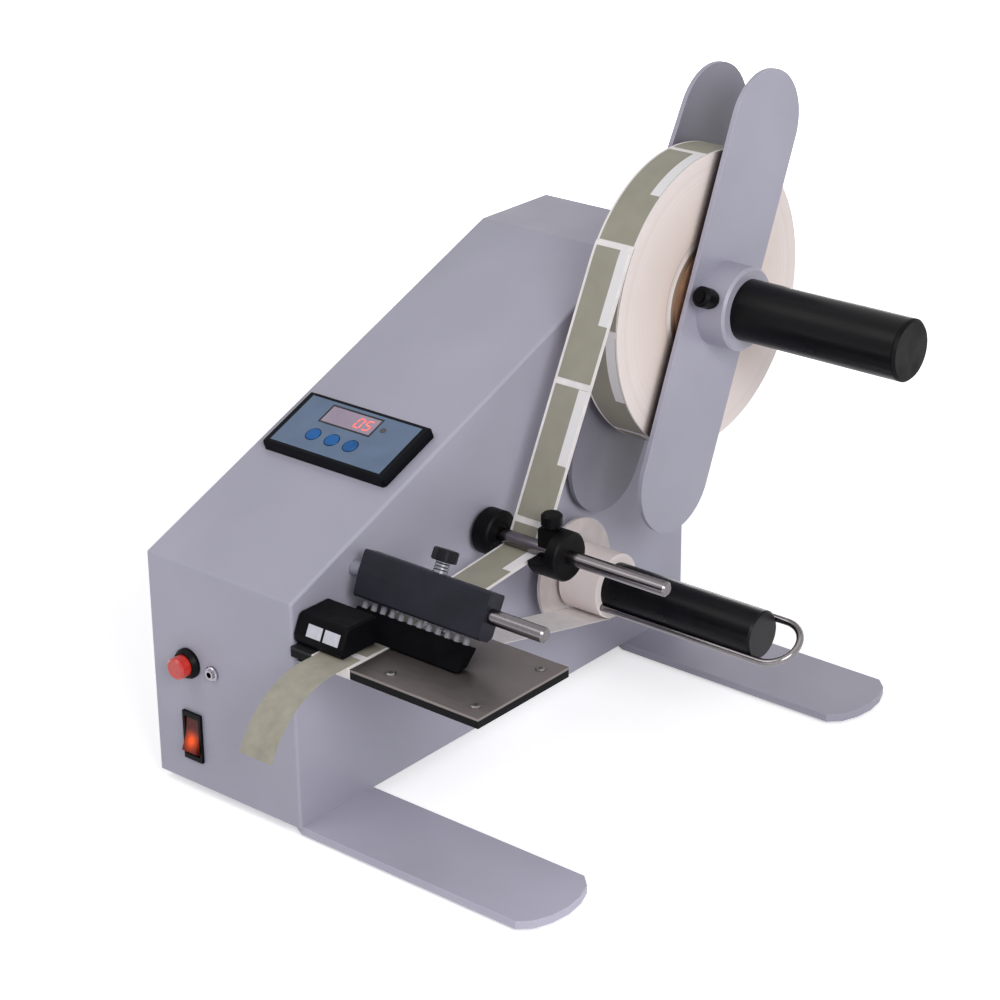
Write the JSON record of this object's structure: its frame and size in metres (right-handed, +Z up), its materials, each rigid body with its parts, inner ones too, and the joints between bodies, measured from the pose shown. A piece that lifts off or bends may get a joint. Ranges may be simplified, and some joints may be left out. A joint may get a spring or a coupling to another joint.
{
  "type": "automatic label dispenser",
  "caption": "Bench-top label dispenser: sloped steel cabinet, supply roll on a flanged tube, guide rod, press block over a peel plate, and powered liner rewind.",
  "frame": {"origin": "middle of the whole machine on the bench plane, under its rubber pads", "axes": "+X from the cabinet to the free ends of the shafts, +Y from the front face to the rear, +Z up"},
  "size_m": [0.303, 0.4832, 0.3811],
  "materials": {
    "cabinet_paint": "fine texture powder coat",
    "foot_paint": "powder coat",
    "screw_steel": "zinc plated",
    "pad_rubber": "matte",
    "bright_steel": "turned",
    "bearing_plastic": "moulded",
    "black_tube": "semi gloss black",
    "black_plastic": "moulded",
    "bar_paint": "powder coat",
    "knob_plastic": "moulded",
    "core_card": "raw board",
    "roll_paper": "cut edge",
    "peel_steel": "satin",
    "base_black": "matt black",
    "block_black": "black anodised",
    "pin_nylon": "moulded",
    "shoe_black": "felted",
    "screw_black": "black oxide",
    "sensor_black": "moulded",
    "disc_board": "smooth",
    "liner_paper": "glassine",
    "turned_alloy": "turned",
    "motor_case": "plated case",
    "zinc_sheet": "zinc plated",
    "board_green": "solder mask",
    "button_black": "moulded",
    "button_red": "moulded",
    "jack_chrome": "bright",
    "rocker_red": "lit from inside",
    "panel_black": "fine texture",
    "panel_blue": "printed film",
    "window_tint": "tinted",
    "key_blue": "film key",
    "label_paper": "matt label"
  },
  "bodies": {
    "frame": {"base_plate": "cabinet_paint", "button_bezel": "button_black", "cabinet_shell": "cabinet_paint", "control_board": "board_green", "display_window": "window_tint", "foot_bolts": "screw_steel", "front_foot_bar": "foot_paint", "gear_motor": "motor_case", "guide_rod": "bright_steel", "inner_guide_collar": "black_plastic", "jack_socket": "jack_chrome", "liner_web": "liner_paper", "mains_inlet": "black_plastic", "motor_bracket": "zinc_sheet", "panel_face": "panel_blue", "panel_housing": "panel_black", "peel_base": "base_black", "peel_plate": "peel_steel", "peel_plate_screws": "screw_steel", "peeled_label": "label_paper", "power_supply": "zinc_sheet", "press_rod": "bright_steel", "rear_foot_bar": "foot_paint", "rear_panel": "cabinet_paint", "rear_screws": "screw_steel", "rewind_bearing": "bearing_plastic", "rocker_bezel": "button_black", "rod_nuts": "screw_steel", "rubber_pads": "pad_rubber", "sensor_fork": "black_plastic", "sensor_rails": "bright_steel", "supply_axle": "bright_steel", "supply_bearings": "bearing_plastic", "web_labels": "label_paper"},
    "supply": {"supply_tube": "black_tube", "tube_end_cap": "black_plastic", "rear_flange_bar": "bar_paint", "roll_core": "core_card", "label_roll": "roll_paper"},
    "outer_bar": {"front_flange_bar": "bar_paint", "front_hub_collar": "bar_paint"},
    "hub_knob": {"hub_knob": "knob_plastic"},
    "guide_collar": {"outer_guide_collar": "black_plastic"},
    "guide_knob": {"guide_knob": "knob_plastic"},
    "press_block": {"press_block": "block_black"},
    "press_screw": {"press_thumbscrew": "screw_black"},
    "press_shoe": {"press_shoe": "shoe_black", "press_pins": "pin_nylon"},
    "sensor": {"sensor_head": "sensor_black"},
    "rewind": {"rewind_shaft": "black_tube", "rewind_disc": "disc_board", "waste_liner_roll": "liner_paper", "drive_coupling": "turned_alloy"},
    "liner_clip": {"liner_clip": "bright_steel"},
    "button": {"button_cap": "button_red"},
    "rocker": {"rocker_paddle": "rocker_red"},
    "key_left": {"panel_key_left": "key_blue"},
    "key_middle": {"panel_key_middle": "key_blue"},
    "key_right": {"panel_key_right": "key_blue"}
  },
  "joints": [
    {"name": "supply_spin", "type": "hinge", "parent": "frame", "child": "supply", "pos_m": [0.0485, 0.14864, 0.245], "axis": [1, 0, 0], "continuous": true},
    {"name": "outer_bar_slide", "type": "slide", "parent": "supply", "child": "outer_bar", "axis": [1, 0, 0], "range_m": [0, 0.1]},
    {"name": "hub_knob_turn", "type": "hinge", "parent": "outer_bar", "child": "hub_knob", "pos_m": [0.0265, 0.12132, 0.25739], "axis": [0, -0.9107, 0.4131], "range_deg": [-540, 0]},
    {"name": "guide_collar_slide", "type": "slide", "parent": "frame", "child": "guide_collar", "axis": [1, 0, 0], "range_m": [0, 0.06]},
    {"name": "guide_knob_turn", "type": "hinge", "parent": "guide_collar", "child": "guide_knob", "pos_m": [0.0165, -0.01616, 0.152], "axis": [0, 0, 1], "range_deg": [0, 540]},
    {"name": "press_block_slide", "type": "slide", "parent": "frame", "child": "press_block", "axis": [1, 0, 0], "range_m": [0, 0.035]},
    {"name": "press_screw_turn", "type": "hinge", "parent": "press_block", "child": "press_screw", "pos_m": [0.0225, -0.11847, 0.17066], "axis": [0, 0.4695, 0.8829], "range_deg": [0, 540]},
    {"name": "press_shoe_lift", "type": "slide", "parent": "press_block", "child": "press_shoe", "axis": [0, 0.4695, 0.8829], "range_m": [0, 0.003], "stiffness_N_per_m": 500, "springref_m": -0.002},
    {"name": "sensor_slide", "type": "slide", "parent": "frame", "child": "sensor", "axis": [1, 0, 0], "range_m": [0, 0.012]},
    {"name": "rewind_spin", "type": "hinge", "parent": "frame", "child": "rewind", "pos_m": [0.0485, 0.05664, 0.086], "axis": [1, 0, 0], "continuous": true},
    {"name": "liner_clip_slide", "type": "slide", "parent": "rewind", "child": "liner_clip", "axis": [1, 0, 0], "range_m": [0, 0.14]},
    {"name": "button_push", "type": "slide", "parent": "frame", "child": "button", "axis": [0, 1, 0], "range_m": [0, 0.003], "stiffness_N_per_m": 300, "springref_m": -0.001},
    {"name": "rocker_tilt", "type": "hinge", "parent": "frame", "child": "rocker", "pos_m": [-0.1201, -0.17636, 0.0389], "axis": [1, 0, 0], "range_deg": [0, 16]},
    {"name": "key_left_push", "type": "slide", "parent": "frame", "child": "key_left", "axis": [0, 0.3798, -0.9251], "range_m": [0, 0.0006], "stiffness_N_per_m": 800, "springref_m": -0.0003},
    {"name": "key_middle_push", "type": "slide", "parent": "frame", "child": "key_middle", "axis": [0, 0.3798, -0.9251], "range_m": [0, 0.0006], "stiffness_N_per_m": 800, "springref_m": -0.0003},
    {"name": "key_right_push", "type": "slide", "parent": "frame", "child": "key_right", "axis": [0, 0.3798, -0.9251], "range_m": [0, 0.0006], "stiffness_N_per_m": 800, "springref_m": -0.0003}
  ]
}
